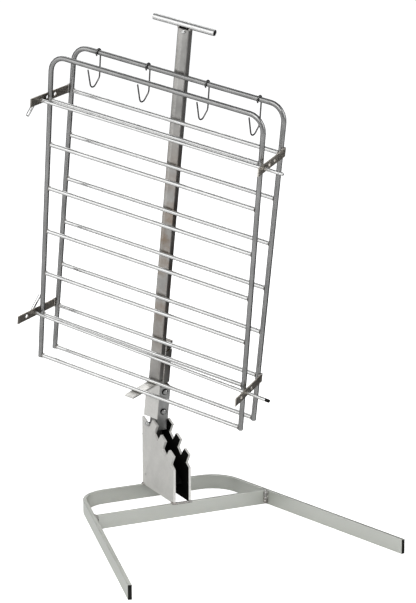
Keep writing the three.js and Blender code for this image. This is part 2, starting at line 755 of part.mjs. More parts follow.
// The rod lies through one hole of each side's strip and ends in a bent leg outside the left one
function buildLock(parent, name, place, leftHeight, rightHeight, legTurn) {
  const right = rightHoleMiddle(place);
  const slope = (rightHeight - leftHeight) / (right - leftStripMiddle);
  const heightAt = (x) => leftHeight + slope * (x - leftStripMiddle);
  const y = -gridPlane - place;
  const bendX = leftStripMiddle - LOCK_STAND_OFF;
  const bend = new THREE.Vector3(bendX, y, heightAt(bendX));
  const endX = right + LOCK_PAST_STRIP[name];
  const end = new THREE.Vector3(endX, y, heightAt(endX));
  const leg = bend.clone();
  leg.y -= LOCK_LEG * Math.cos(legTurn);
  leg.z += LOCK_LEG * Math.sin(legTurn);
  const rod = bentRod(bentStations([end, bend, leg], LOCK_BEND), LOCK_DIAMETER);
  addPiece(parent, `${name}_locking_rod`, rod, 'polished_steel');

  const radius = LOCK_DIAMETER / 2;
  const cap = turned([
    [0, FIT_GAP],
    [radius, FIT_GAP],
    [radius, LOCK_CAP_LENGTH - 1.5],
    [radius - 1.5, LOCK_CAP_LENGTH],
    [0, LOCK_CAP_LENGTH],
  ], ROD_SIDES).rotateY(Math.PI / 2);
  const capPiece = addPiece(parent, `${name}_rod_cap`, cap, 'dark_steel');
  capPiece.position.copy(end);
  capPiece.rotation.y = -Math.atan(slope);
}

// An eye round the top bar, a shank behind it and a belly that comes forward to the tip
function hook() {
  const eyeRadius = (hookEye + HOOK_WIRE) / 2;
  const eyeDrop = (hookEye - GRID_BAR) / 2 - FIT_GAP;
  const eyeEnd = Math.PI + Math.atan2(HOOK_WAIST[0] + eyeRadius, -HOOK_WAIST[1]);
  const place = (forward, up) => new THREE.Vector3(0, -forward, up);
  const stations = [];
  for (let step = 0; step <= HOOK_EYE_STEPS; step += 1) {
    const angle = HOOK_EYE_START + ((eyeEnd - HOOK_EYE_START) * step) / HOOK_EYE_STEPS;
    stations.push({
      point: place(eyeRadius * Math.cos(angle), eyeRadius * Math.sin(angle) - eyeDrop),
      direction: place(-Math.sin(angle), Math.cos(angle)),
    });
  }
  const eyeExit = stations.pop().point;
  const corners = [eyeExit, place(...HOOK_WAIST), place(...HOOK_BELLY), place(...HOOK_TIP)];
  const shank = bentStations(corners, HOOK_BEND);
  return bentRod([...stations, ...shank], HOOK_WIRE, WIRE_SIDES);
}

function buildHooks(parent) {
  const outer = sideBarReach - HOOK_FROM_SIDE;
  [-outer, -HOOK_FROM_MAST, HOOK_FROM_MAST, outer].forEach((x, i) => {
    const piece = addPiece(parent, `hook_${i + 1}`, hook(), 'dark_steel');
    piece.position.set(x, -gridPlane, GRID_TOP);
    piece.rotation.x = HOOK_HANG;
  });
}

// ---- Assembly ----

const stand = new THREE.Group();
buildBase(stand);

const lean = new THREE.Group();
lean.position.set(0, PIN_Y, PIN_Z);
lean.rotation.x = LEAN;
stand.add(lean);
buildFoot(lean);

const mast = new THREE.Group();
mast.rotation.z = TURN;
lean.add(mast);
buildMast(mast);

const backGrid = new THREE.Group();
backGrid.position.set(0, -gridPlane, gridBottom);
mast.add(backGrid);
buildGrid(backGrid, 'back');

const frontGrid = new THREE.Group();
frontGrid.position.set(FRONT_GRID_ASIDE, -gridPlane - FRONT_GRID_OUT, gridBottom);
frontGrid.rotation.x = FRONT_GRID_LEAN;
mast.add(frontGrid);
buildGrid(frontGrid, 'front');

addStrip(mast, 'left_top_strip', -1, 0, topStripHeight);
addStrip(mast, 'left_bottom_strip', -1, 0, lowRodHeight + LEFT_BOTTOM_STRIP_RISE);
addStrip(mast, 'right_top_strip', 1, RIGHT_SPLAY, topStripHeight);
addStrip(mast, 'right_bottom_strip', 1, RIGHT_SPLAY, lowRodHeight + RIGHT_BOTTOM_STRIP_RISE);

buildLock(mast, 'top', TOP_LOCK_HOLE, topStripHeight, topStripHeight, -Math.PI / 4);
buildLock(
  mast,
  'bottom',
  BOTTOM_LOCK_HOLE,
  lowRodHeight + LEFT_BOTTOM_STRIP_RISE,
  lowRodHeight + RIGHT_BOTTOM_STRIP_RISE,
  (3 * Math.PI) / 4,
);
buildHooks(mast);

export default stand;
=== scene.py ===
"""Looks of a standing roasting rack: rounded edges, weld beads, steel finishes and the studio."""

import json
import math

import bmesh
import bpy
from bpy.props import FloatProperty, FloatVectorProperty, IntProperty, PointerProperty
from mathutils import Euler, Matrix, Vector


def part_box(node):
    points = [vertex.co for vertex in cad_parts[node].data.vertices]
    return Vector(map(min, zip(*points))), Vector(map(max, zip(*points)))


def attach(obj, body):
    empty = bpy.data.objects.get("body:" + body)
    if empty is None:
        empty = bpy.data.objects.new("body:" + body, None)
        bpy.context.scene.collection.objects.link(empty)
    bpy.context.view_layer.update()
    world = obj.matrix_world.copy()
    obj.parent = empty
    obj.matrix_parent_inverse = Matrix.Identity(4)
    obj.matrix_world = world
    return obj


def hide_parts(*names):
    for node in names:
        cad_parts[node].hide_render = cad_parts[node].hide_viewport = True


bl_info = {
    "name": "Standing roasting rack",
    "version": (1, 0, 0),
    "blender": (4, 5, 0),
    "location": "View3D > Sidebar > Roasting rack",
    "description": "Finishes the packed frame of a roasting rack with a mast and two wire grids",
    "category": "Object",
}

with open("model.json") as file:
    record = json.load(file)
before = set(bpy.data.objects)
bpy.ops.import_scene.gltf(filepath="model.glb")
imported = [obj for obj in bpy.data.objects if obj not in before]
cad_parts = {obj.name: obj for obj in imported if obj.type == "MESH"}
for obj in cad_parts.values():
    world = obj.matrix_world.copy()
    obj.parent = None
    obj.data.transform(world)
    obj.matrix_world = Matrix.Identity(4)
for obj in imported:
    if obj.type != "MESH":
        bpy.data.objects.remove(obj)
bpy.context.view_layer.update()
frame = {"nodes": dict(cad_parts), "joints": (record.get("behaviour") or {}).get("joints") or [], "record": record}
BODY_OF = {
    node: body
    for body, nodes in frame["record"]["behaviour"]["bodies"].items()
    for node in nodes
}
JOINTS = {joint["name"]: joint for joint in frame["joints"]}
PIN = Vector(JOINTS["mast_lean"]["pos_m"])
ACROSS = Vector(JOINTS["hook_1_swing"]["axis"])
FORWARD = Vector(JOINTS["front_grid_slide"]["axis"])
UP_MAST = Vector(JOINTS["mast_turn"]["axis"])

# Place and turn of the mast: x along the grids' width, -y out of the back grid, z up the mast
MAST = Matrix.Translation(PIN) @ Matrix((ACROSS, -FORWARD, UP_MAST)).transposed().to_4x4()
# Place and lean of the foot, which doesn't turn with the mast
LEANING = Matrix.Translation(PIN) @ Matrix.Rotation(math.atan2(-UP_MAST.y, UP_MAST.z), 4, "X")
UPRIGHT = Matrix.Identity(4)

ROD_COUNT = 6
HOOK_COUNT = 4
ROD_NAMES = [f"rod_{i + 1}" for i in range(ROD_COUNT)] + ["bottom_rod"]

# Where a copied node is cleaned, and which of its edges stay sharp and are rounded
MERGE_DISTANCE = 1e-6
FLAT_ANGLE = math.radians(0.6)
SHARP_ANGLE = math.radians(40)

# Where a second finish, a near-black painted shade, starts on a piece
INWARD_SHARE = 0.9  # least part of a face's normal that points across the bracket
BOLT_DOME = 0.0035  # depth of a bolt's domed head
SAWN_DEPTH = 0.01  # depth of a leg's front end that takes the near-black painted shade

# Weld beads: shape of one bead, and the gap between two as a share of the bead's radius
BEAD_SHAPE = (1.0, 0.9, 0.8)
BEAD_UNEVENNESS = 0.16
RING_BEADS = 9
BASE_GAP = 0.6
BRACKET_GAP = 0.7
GAP = 0.75

BLACK = (0.0, 0.0, 0.0, 1.0)
WHITE = (1.0, 1.0, 1.0, 1.0)
CARD_COLOUR = (0.02, 0.02, 0.02, 1.0)
FLOOR_REACH = 14
FLOOR_ROUGHNESS = 0.9
LIT_POINT = Vector((0, 0, 0.5))
SENSOR_HEIGHT = 36.0

# Soft lights: name, place, side and power
LIGHTS = (
    ("key", (-2.8, -2.8, 3.8), 4.0, 150),
    ("fill", (3.2, -3.2, 2.4), 3.4, 90),
    ("back", (0.6, 3.2, 3.4), 2.4, 50),
    ("side", (-4.2, 0.6, 2.2), 4.2, 70),
)

# Dark cards: name, place, width and height, and tilt and turn in degrees
DARK_CARDS = (
    ("back_card", (2.4, 3.9, 1.4), (6.0, 2.8), 90, -30),
    ("right_card", (4.0, -0.6, 1.2), (3.0, 2.4), 90, -90),
    ("floor_card", (1.95, 0.2, 0.004), (2.8, 2.8), 0, 0),
)


# ---- Sizes, colours and stage ----


class RackSizes(bpy.types.PropertyGroup):
    """Sizes of the fine shape that the finish adds"""

    bar_round: FloatProperty(
        name="Bar edge", description="Rounding of the flat bars' edges",
        default=0.0011, unit="LENGTH",
    )
    plate_round: FloatProperty(
        name="Plate edge", description="Rounding of cut plates and strips",
        default=0.0005, unit="LENGTH",
    )
    rod_round: FloatProperty(
        name="Rod end", description="Rounding of rod and wire ends",
        default=0.0006, unit="LENGTH",
    )
    weld_bead: FloatProperty(
        name="Weld bead", description="Radius of a large weld bead",
        default=0.0034, unit="LENGTH",
    )
    rod_weld: FloatProperty(
        name="Rod weld", description="Radius of the beads round a rod's end",
        default=0.0016, unit="LENGTH",
    )
    edge_segments: IntProperty(name="Edge steps", description="Steps in a rounded edge", default=3)


class RackColours(bpy.types.PropertyGroup):
    """Colours of the steel finishes"""

    base: FloatVectorProperty(
        name="Base bar", description="Satin flat bar", subtype="COLOR", size=3,
        default=(0.66, 0.68, 0.64),
    )
    plate: FloatVectorProperty(
        name="Plate", description="Matt cut plate", subtype="COLOR", size=3,
        default=(0.76, 0.75, 0.72),
    )
    brushed: FloatVectorProperty(
        name="Brushed", description="Foot and grid bars", subtype="COLOR", size=3,
        default=(0.36, 0.36, 0.355),
    )
    bright: FloatVectorProperty(
        name="Bright", description="Drawn rods, pins and handle", subtype="COLOR", size=3,
        default=(0.74, 0.74, 0.73),
    )
    wire: FloatVectorProperty(
        name="Wire", description="Bent hook wire", subtype="COLOR", size=3,
        default=(0.16, 0.16, 0.155),
    )
    mast: FloatVectorProperty(
        name="Mast", description="Mast, bearing tube and welds", subtype="COLOR", size=3,
        default=(0.5, 0.49, 0.47),
    )
    strip: FloatVectorProperty(
        name="Strip", description="Strips on the left", subtype="COLOR", size=3,
        default=(0.36, 0.335, 0.30),
    )
    clean_strip: FloatVectorProperty(
        name="Clean strip", description="Strips on the right", subtype="COLOR", size=3,
        default=(0.68, 0.64, 0.58),
    )
    # Near-black that paints shade on the web, the bracket's inside, the bolts' flanges, a rod's tip and the legs'
    # front ends
    dark: FloatVectorProperty(
        name="Dark", description="Tips, web and sawn ends", subtype="COLOR", size=3,
        default=(0.035, 0.034, 0.032),
    )
    bronze: FloatVectorProperty(
        name="Bronze", description="Bearing rings", subtype="COLOR", size=3,
        default=(0.45, 0.30, 0.13),
    )
    heat: FloatVectorProperty(
        name="Heat tint", description="Straw and brown near heat", subtype="COLOR", size=3,
        default=(0.27, 0.20, 0.145),
    )


class RackStage(bpy.types.PropertyGroup):
    """Floor, lights and camera"""

    floor: FloatVectorProperty(
        name="Floor", description="Colour of the floor", subtype="COLOR", size=3,
        default=(0.85, 0.85, 0.85),
    )
    floor_glow: FloatProperty(
        name="Floor glow", description="Added to the floor where the camera sees it",
        default=0.82,
    )
    surround: FloatVectorProperty(
        name="Surround", description="Soft light from all round", subtype="COLOR", size=3,
        default=(0.95, 0.97, 1.0),
    )
    surround_strength: FloatProperty(
        name="Surround strength", description="Brightness",
        default=0.25,
    )
    aim: FloatVectorProperty(
        name="Aim", description="Point that the camera looks at", subtype="TRANSLATION", size=3,
        default=(0.09744, 0.05525, 0.50716),
    )
    distance: FloatProperty(
        name="Distance", description="From the aim",
        default=5.935, unit="LENGTH",
    )
    turn: FloatProperty(
        name="Turn", description="Camera's turn to the right",
        default=math.radians(25.8), unit="ROTATION",
    )
    pitch: FloatProperty(
        name="Pitch", description="Camera's tilt down",
        default=math.radians(13.79), unit="ROTATION",
    )
    lens: FloatProperty(
        name="Lens", description="Focal length on a 36 mm high frame, mm",
        default=148.5,
    )


# ---- Shared shader groups ----


def new_group(name, inputs, outputs):
    """An empty shader group with named sockets: (name, kind, default) in, (name, kind) out."""
    group = bpy.data.node_groups.new(name, "ShaderNodeTree")
    for label, kind, default in inputs:
        socket = group.interface.new_socket(name=label, in_out="INPUT", socket_type=kind)
        if default is not None:
            socket.default_value = default
    for label, kind in outputs:
        group.interface.new_socket(name=label, in_out="OUTPUT", socket_type=kind)
    return group, group.nodes.new("NodeGroupInput"), group.nodes.new("NodeGroupOutput")


def noise(nodes, scale, detail=4.0, roughness=0.6):
    """A noise texture with its own size."""
    texture = nodes.new("ShaderNodeTexNoise")
    texture.inputs["Scale"].default_value = scale
    texture.inputs["Detail"].default_value = detail
    texture.inputs["Roughness"].default_value = roughness
    return texture


def mapped(nodes, links, source, low, high, to_low, to_high):
    """A value moved from one range to another."""
    node = nodes.new("ShaderNodeMapRange")
    node.inputs["From Min"].default_value = low
    node.inputs["From Max"].default_value = high
    node.inputs["To Min"].default_value = to_low
    node.inputs["To Max"].default_value = to_high
    links.new(source, node.inputs["Value"])
    return node.outputs["Result"]


def feed(links, value, socket):
    """Links a socket to another one, or sets it to a plain value."""
    if isinstance(value, bpy.types.NodeSocket):
        links.new(value, socket)
    else:
        socket.default_value = value


def calculated(nodes, links, operation, *values):
    """The result of a sum; each value may be a socket or a number."""
    node = nodes.new("ShaderNodeMath")
    node.operation = operation
    for value, socket in zip(values, node.inputs):
        feed(links, value, socket)
    return node.outputs[0]


# Places of the colour sockets on a mix node, which has a set for each kind of value
MIX_FACTOR = 0
MIX_FIRST = 6
MIX_SECOND = 7
MIX_RESULT = 2


def blended(nodes, links, factor, first, second):
    """Two colours mixed by a factor; each may be a socket or a fixed colour."""
    node = nodes.new("ShaderNodeMix")
    node.data_type = "RGBA"
    feed(links, factor, node.inputs[MIX_FACTOR])
    feed(links, first, node.inputs[MIX_FIRST])
    feed(links, second, node.inputs[MIX_SECOND])
    return node.outputs[MIX_RESULT]


def grain_group():
    """Fine drawn or brushed lines, with broad cloudy patches over them."""
    group, given, result = new_group(
        "Steel grain",
        [
            ("Line Vector", "NodeSocketVector", None),
            ("Patch Vector", "NodeSocketVector", None),
            ("Patch Scale", "NodeSocketFloat", 14.0),
        ],
        [
            ("Lines", "NodeSocketFloat"),
            ("Patches", "NodeSocketFloat"),
            ("Height", "NodeSocketFloat"),
        ],
    )
    nodes = group.nodes
    links = group.links
    lines = noise(nodes, 1.0, 3.0, 0.65)
    links.new(given.outputs["Line Vector"], lines.inputs["Vector"])
    patches = noise(nodes, 14.0, 5.0, 0.6)
    links.new(given.outputs["Patch Vector"], patches.inputs["Vector"])
    links.new(given.outputs["Patch Scale"], patches.inputs["Scale"])
    line = lines.outputs["Fac"]
    patch = patches.outputs["Fac"]
    patch_height = 0.35
    height = calculated(nodes, links, "MULTIPLY_ADD", patch, patch_height, line)
    links.new(mapped(nodes, links, line, 0.3, 0.7, 0.0, 1.0), result.inputs["Lines"])
    links.new(mapped(nodes, links, patch, 0.35, 0.68, 0.0, 1.0), result.inputs["Patches"])
    links.new(height, result.inputs["Height"])
    return group


def wear_group():
    """Edges rubbed bright, from how sharply the surface turns."""
    group, given, result = new_group(
        "Rubbed edges",
        [
            ("Pointiness", "NodeSocketFloat", 0.5),
            ("Vector", "NodeSocketVector", None),
            ("Amount", "NodeSocketFloat", 0.6),
        ],
        [("Mask", "NodeSocketFloat")],
    )
    nodes = group.nodes
    links = group.links
    edge = mapped(nodes, links, given.outputs["Pointiness"], 0.52, 0.62, 0.0, 1.0)
    broken = noise(nodes, 160.0, 3.0)
    links.new(given.outputs["Vector"], broken.inputs["Vector"])
    gaps = mapped(nodes, links, broken.outputs["Fac"], 0.35, 0.6, 0.3, 1.0)
    worn = calculated(nodes, links, "MULTIPLY", edge, gaps)
    mask = calculated(nodes, links, "MULTIPLY", worn, given.outputs["Amount"])
    links.new(mask, result.inputs["Mask"])
    return group


def heat_group():
    """Straw and brown heat tint between two heights, broken up by noise."""
    group, given, result = new_group(
        "Heat tint",
        [
            ("Vector", "NodeSocketVector", None),
            ("Middle", "NodeSocketFloat", 0.5),
            ("Reach", "NodeSocketFloat", 0.3),
        ],
        [("Mask", "NodeSocketFloat")],
    )
    nodes = group.nodes
    links = group.links
    split = nodes.new("ShaderNodeSeparateXYZ")
    links.new(given.outputs["Vector"], split.inputs[0])
    away = calculated(nodes, links, "SUBTRACT", split.outputs["Z"], given.outputs["Middle"])
    distance = calculated(nodes, links, "ABSOLUTE", away)
    share = calculated(nodes, links, "DIVIDE", distance, given.outputs["Reach"])
    fade = mapped(nodes, links, share, 0.2, 1.0, 1.0, 0.0)
    cloud = noise(nodes, 22.0, 5.0, 0.65)
    links.new(given.outputs["Vector"], cloud.inputs["Vector"])
    broken = mapped(nodes, links, cloud.outputs["Fac"], 0.4, 0.62, 0.0, 1.0)
    links.new(calculated(nodes, links, "MULTIPLY", fade, broken), result.inputs["Mask"])
    return group


GROUPS = {"Steel grain": grain_group, "Rubbed edges": wear_group, "Heat tint": heat_group}


def placed_group(nodes, name):
    """The named group in a material, built the first time it is asked for."""
    node = nodes.new("ShaderNodeGroup")
    node.node_tree = bpy.data.node_groups.get(name) or GROUPS[name]()
    return node


# ---- Finishes ----


def axes_mapping(nodes, links, coordinates, axes, stretch):
    """Coordinates turned to the piece's own axes and counted in the given steps."""
    node = nodes.new("ShaderNodeMapping")
    node.vector_type = "TEXTURE"
    node.inputs["Location"].default_value = axes.to_translation()
    node.inputs["Rotation"].default_value = axes.to_euler()
    node.inputs["Scale"].default_value = stretch
    links.new(coordinates, node.inputs["Vector"])
    return node.outputs["Vector"]


EDGE_TINT = BLACK  # keeps grazing reflections as dark as the steel
GRAIN_DEPTH = 0.0003
LINE_SHADE = 0.35  # how far a drawn line goes towards the dark tone
RUBBED_GAIN = 1.22
RUBBED_LIMIT = 0.95
ALONG_X = (0.02, 0.0006, 0.0006)
ALONG_Z = (0.0006, 0.0006, 0.03)
ALONG_STRIP = (0.001, 0.01, 0.001)


def steel(name, colour, axes, stretch, rough, depth, shade, wear, patch, heat=None, metal=1.0):
    """Steel with lines along one axis, cloudy patches, rubbed edges and, if asked for, heat tint.

    stretch is the length of the grain along each axis; rough is (smoothest, roughest); depth is
    the strength of the bump; shade darkens the patches and patch is how many there are; wear is
    how bright the edges are rubbed; heat is (colour, middle, reach, amount); metal below 1 stands
    for a matt skin of scale or zinc.
    """
    material = bpy.data.materials.new(name)
    material.use_nodes = True
    nodes = material.node_tree.nodes
    links = material.node_tree.links
    shader = nodes["Principled BSDF"]
    shader.inputs["Metallic"].default_value = metal
    shader.inputs["Specular Tint"].default_value = EDGE_TINT
    coordinates = nodes.new("ShaderNodeTexCoord").outputs["Object"]
    geometry = nodes.new("ShaderNodeNewGeometry")
    grain = placed_group(nodes, "Steel grain")
    grain.inputs["Patch Scale"].default_value = patch
    links.new(axes_mapping(nodes, links, coordinates, axes, stretch), grain.inputs["Line Vector"])
    links.new(coordinates, grain.inputs["Patch Vector"])
    full = (*colour, 1.0)
    low = (*(channel * shade for channel in colour), 1.0)
    high = (*(min(channel * RUBBED_GAIN, RUBBED_LIMIT) for channel in colour), 1.0)
    toned = blended(nodes, links, grain.outputs["Patches"], full, low)
    faint_lines = mapped(nodes, links, grain.outputs["Lines"], 0.0, 1.0, 0.0, LINE_SHADE)
    toned = blended(nodes, links, faint_lines, toned, low)
    if heat:
        tint, middle, reach, amount = heat
        local = axes_mapping(nodes, links, coordinates, axes, (1.0, 1.0, 1.0))
        band = placed_group(nodes, "Heat tint")
        band.inputs["Middle"].default_value = middle
        band.inputs["Reach"].default_value = reach
        links.new(local, band.inputs["Vector"])
        part = mapped(nodes, links, band.outputs["Mask"], 0.0, 1.0, 0.0, amount)
        toned = blended(nodes, links, part, toned, (*tint, 1.0))
    edges = placed_group(nodes, "Rubbed edges")
    edges.inputs["Amount"].default_value = wear
    links.new(geometry.outputs["Pointiness"], edges.inputs["Pointiness"])
    links.new(coordinates, edges.inputs["Vector"])
    toned = blended(nodes, links, edges.outputs["Mask"], toned, high)
    links.new(toned, shader.inputs["Base Color"])
    roughness = mapped(nodes, links, grain.outputs["Patches"], 0.0, 1.0, *rough)
    links.new(roughness, shader.inputs["Roughness"])
    bump = nodes.new("ShaderNodeBump")
    bump.inputs["Strength"].default_value = depth
    bump.inputs["Distance"].default_value = GRAIN_DEPTH
    links.new(grain.outputs["Height"], bump.inputs["Height"])
    links.new(bump.outputs["Normal"], shader.inputs["Normal"])
    return material


def base_steel(colours):
    """Satin flat bar with rolling lines and a faint green-grey cast."""
    return steel(
        "base_steel", colours.base, UPRIGHT, stretch=(0.012, 0.012, 0.0008),
        rough=(0.32, 0.5), depth=0.3, shade=0.72, wear=0.9, patch=7.0,
        metal=0.6,
    )


def plate_steel(colours):
    """Matt cut plate."""
    return steel(
        "plate_steel", colours.plate, UPRIGHT, stretch=(0.004, 0.006, 0.006),
        rough=(0.48, 0.62), depth=0.2, shade=0.88, wear=0.9, patch=18.0,
        metal=0.6,
    )


def guard_steel(colours):
    """Cut plate on the mast, smoother than the bracket."""
    return steel(
        "guard_steel", colours.plate, MAST, stretch=(0.006, 0.006, 0.0008),
        rough=(0.36, 0.5), depth=0.2, shade=0.85, wear=0.8, patch=24.0,
    )


def mast_steel(colours):
    """Brushed tube with heat tint half way up."""
    return steel(
        "mast_steel", colours.mast, MAST, stretch=ALONG_Z,
        rough=(0.3, 0.46), depth=0.3, shade=0.66, wear=0.6, patch=16.0,
        heat=(colours.heat, 0.46, 0.34, 0.9),
    )


def foot_steel(colours):
    """Brushed square tube of the foot."""
    return steel(
        "foot_steel", colours.brushed, LEANING, stretch=ALONG_Z,
        rough=(0.28, 0.42), depth=0.25, shade=0.7, wear=0.8, patch=30.0,
    )


def grid_bar_steel(colours):
    """Round bar of the two frames, and the bolts."""
    return steel(
        "grid_bar_steel", colours.brushed, MAST, stretch=ALONG_Z,
        rough=(0.22, 0.36), depth=0.18, shade=0.72, wear=0.3, patch=26.0,
    )


def rod_steel(colours):
    """Bright drawn rod with lines along it."""
    return steel(
        "rod_steel", colours.bright, MAST, stretch=ALONG_X,
        rough=(0.12, 0.22), depth=0.12, shade=0.82, wear=0.3, patch=30.0,
    )


def pin_steel(colours):
    """Bright turned steel of the pin, shaft and handle."""
    return steel(
        "pin_steel", colours.bright, MAST, stretch=ALONG_X,
        rough=(0.2, 0.32), depth=0.12, shade=0.85, wear=0.5, patch=60.0,
    )


def strip_steel(colours):
    """Brown-grey hot rolled strip."""
    return steel(
        "strip_steel", colours.strip, MAST, stretch=ALONG_STRIP,
        rough=(0.36, 0.52), depth=0.3, shade=0.7, wear=0.9, patch=45.0,
    )


def clean_strip_steel(colours):
    """Strip with less scale on it."""
    return steel(
        "clean_strip_steel", colours.clean_strip, MAST, stretch=ALONG_STRIP,
        rough=(0.34, 0.5), depth=0.3, shade=0.7, wear=0.9, patch=45.0,
    )


def shade_black_steel(colours):
    """Near-black steel that paints the shade on the web, the bracket's inside, the bolts' flanges and a rod's tip.
    """
    return steel(
        "shade_black_steel", colours.dark, UPRIGHT, stretch=(0.004, 0.004, 0.004),
        rough=(0.55, 0.75), depth=0.3, shade=0.5, wear=0.2, patch=30.0,
    )


def shaded_end_steel(colours):
    """The legs' sawn front ends, painted near-black as shade."""
    return steel(
        "shaded_end_steel", colours.dark, UPRIGHT, stretch=(0.0006, 0.02, 0.02),
        rough=(0.45, 0.65), depth=0.5, shade=0.5, wear=0.9, patch=80.0,
    )


def hook_wire_steel(colours):
    """Dark bent wire."""
    return steel(
        "hook_wire_steel", colours.wire, MAST, stretch=(0.002, 0.002, 0.002),
        rough=(0.25, 0.4), depth=0.15, shade=0.7, wear=0.3, patch=60.0,
    )


def bearing_bronze(colours):
    """Turned bearing rings."""
    return steel(
        "bearing_bronze", colours.bronze, LEANING, stretch=(0.01, 0.01, 0.0005),
        rough=(0.3, 0.45), depth=0.2, shade=0.75, wear=0.5, patch=40.0,
    )


def weld_metal(colours):
    """Silver weld beads with brown between the ripples."""
    return steel(
        "weld_metal", colours.mast, MAST, stretch=(0.0015, 0.0015, 0.0015),
        rough=(0.25, 0.5), depth=0.7, shade=0.4, wear=0.6, patch=120.0,
        heat=(colours.heat, 0.5, 2.0, 0.55),
    )


def finish(make):
    """The material that a finish function makes, made once."""
    found = bpy.data.materials.get(make.__name__)
    return found or make(bpy.context.scene.rack_colours)


# ---- Pieces ----


def finished_object(name, mesh, body, materials):
    """Puts a mesh in the scene as a piece of a body."""
    for material in materials:
        mesh.materials.append(material)
    piece = bpy.data.objects.new(name, mesh)
    bpy.context.scene.collection.objects.link(piece)
    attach(piece, body)
    return piece


def looks_inward(face, low):
    """Whether a face looks along x towards the middle of the bracket."""
    across = face.normal.x
    return abs(across) > INWARD_SHARE and across * face.calc_center_median().x < 0


def is_flange(face, low):
    """Whether a face of a bolt lies behind its domed head."""
    middle = LEANING.inverted() @ face.calc_center_median()
    return middle.y > box_in("foot_bolt_lower", LEANING)[0].y + BOLT_DOME


def is_front_end(face, low):
    """Whether a face is the sawn front end of a leg."""
    return face.calc_center_median().y < low.y + SAWN_DEPTH


def rounded(node, make, width, other=None, where=None):
    """A merged copy of a node with rounded edges and smooth round faces, which stands for the node.

    other is the finish of the faces that the function where picks out.
    """
    sizes = bpy.context.scene.rack_sizes
    bm = bmesh.new()
    bm.from_mesh(frame["nodes"][node].data)
    bmesh.ops.remove_doubles(bm, verts=bm.verts, dist=MERGE_DISTANCE)
    bmesh.ops.dissolve_limit(bm, angle_limit=FLAT_ANGLE, verts=bm.verts, edges=bm.edges)
    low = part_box(node)[0]
    for face in bm.faces:
        face.smooth = True
        if where and where(face, low):
            face.material_index = 1
    mesh = bpy.data.meshes.new(f"{node}_finished")
    bm.to_mesh(mesh)
    bm.free()
    mesh.set_sharp_from_angle(angle=SHARP_ANGLE)
    materials = [finish(make)] + ([finish(other)] if other else [])
    piece = finished_object(mesh.name, mesh, BODY_OF[node], materials)
    edge = piece.modifiers.new("Rounded edges", "BEVEL")
    edge.width = width
    edge.segments = sizes.edge_segments
    edge.limit_method = "ANGLE"
    edge.angle_limit = SHARP_ANGLE
    edge.harden_normals = True
    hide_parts(node)
    return piece


def box_in(node, axes):
    """Lowest and highest corners of a node, in the given axes."""
    inverse = axes.inverted()
    corners = [inverse @ vertex.co for vertex in frame["nodes"][node].data.vertices]
    low = Vector(min(corner[i] for corner in corners) for i in range(3))
    high = Vector(max(corner[i] for corner in corners) for i in range(3))
    return low, high


def line_points(start, end, step):
    """Evenly spaced points from start to end."""
    start = Vector(start)
    end = Vector(end)
    count = max(1, round((end - start).length / step))
    return [start.lerp(end, i / count) for i in range(count + 1)]


def ring_points(centre, radius, count, axis):
    """Points on a circle round an axis, 0 for x, 1 for y or 2 for z."""
    points = []
    for i in range(count):
        angle = 2 * math.pi * i / count
        point = Vector(centre)
        point[(axis + 1) % 3] += radius * math.cos(angle)
        point[(axis + 2) % 3] += radius * math.sin(angle)
        points.append(point)
    return points


def weld(name, body, axes, runs):
    """One piece of weld: each run is (points, bead radius), laid as overlapping ripples.

    The sines only make each bead a little larger or smaller, and turned, against the next.
    """
    bm = bmesh.new()
    flattened = Matrix.Diagonal((*BEAD_SHAPE, 1.0))
    for points, radius in runs:
        for i, point in enumerate(points):
            uneven = 1 + BEAD_UNEVENNESS * math.sin(2.3 * i + 40 * point.x + 31 * point.z)
            turn = Euler((0.5 * math.sin(1.7 * i), 0.4 * math.cos(2.9 * i), 0.9 * i))
            placed = axes @ Matrix.Translation(point) @ turn.to_matrix().to_4x4() @ flattened
            bmesh.ops.create_icosphere(bm, subdivisions=2, radius=radius * uneven, matrix=placed)
    for face in bm.faces:
        face.smooth = True
    mesh = bpy.data.meshes.new(name)
    bm.to_mesh(mesh)
    bm.free()
    return finished_object(name, mesh, body, [finish(weld_metal)])


def rod_end_runs(grid, names, radius):
    """Rings of small beads where rods meet the side bars."""
    runs = []
    for node in names:
        low, high = box_in(f"{grid}_{node}", MAST)
        middle = (low + high) / 2
        around = (high.y - low.y) / 2
        for end in (low.x, high.x):
            centre = (end, middle.y, middle.z)
            runs.append((ring_points(centre, around, RING_BEADS, axis=0), radius))
    return runs


# ---- Operators ----


class RACK_OT_base(bpy.types.Operator):
    """Finish the U base and its cross bar"""

    bl_idname = "rack.base"
    bl_label = "Base"

    def execute(self, context):
        sizes = context.scene.rack_sizes
        # The legs' front end faces take near-black painted shade
        rounded("base_bow", base_steel, sizes.bar_round, shaded_end_steel, is_front_end)
        rounded("cross_bar", base_steel, sizes.bar_round)
        low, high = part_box("cross_bar")
        sunk = 0.0008  # how far the beads sit in from the bar's end
        runs = []
        for side, end_x in ((-1, low.x), (1, high.x)):
            for y, bead in ((low.y, sizes.weld_bead * 2), (high.y, sizes.weld_bead)):
                x = end_x - side * sunk * (1 if y < 0 else 2)
                bottom = (x, y, low.z + bead)
                top = (x, y, high.z - bead / 2)
                runs.append((line_points(bottom, top, bead * BASE_GAP), bead))
        weld("cross_bar_welds", "base", UPRIGHT, runs)
        return {"FINISHED"}


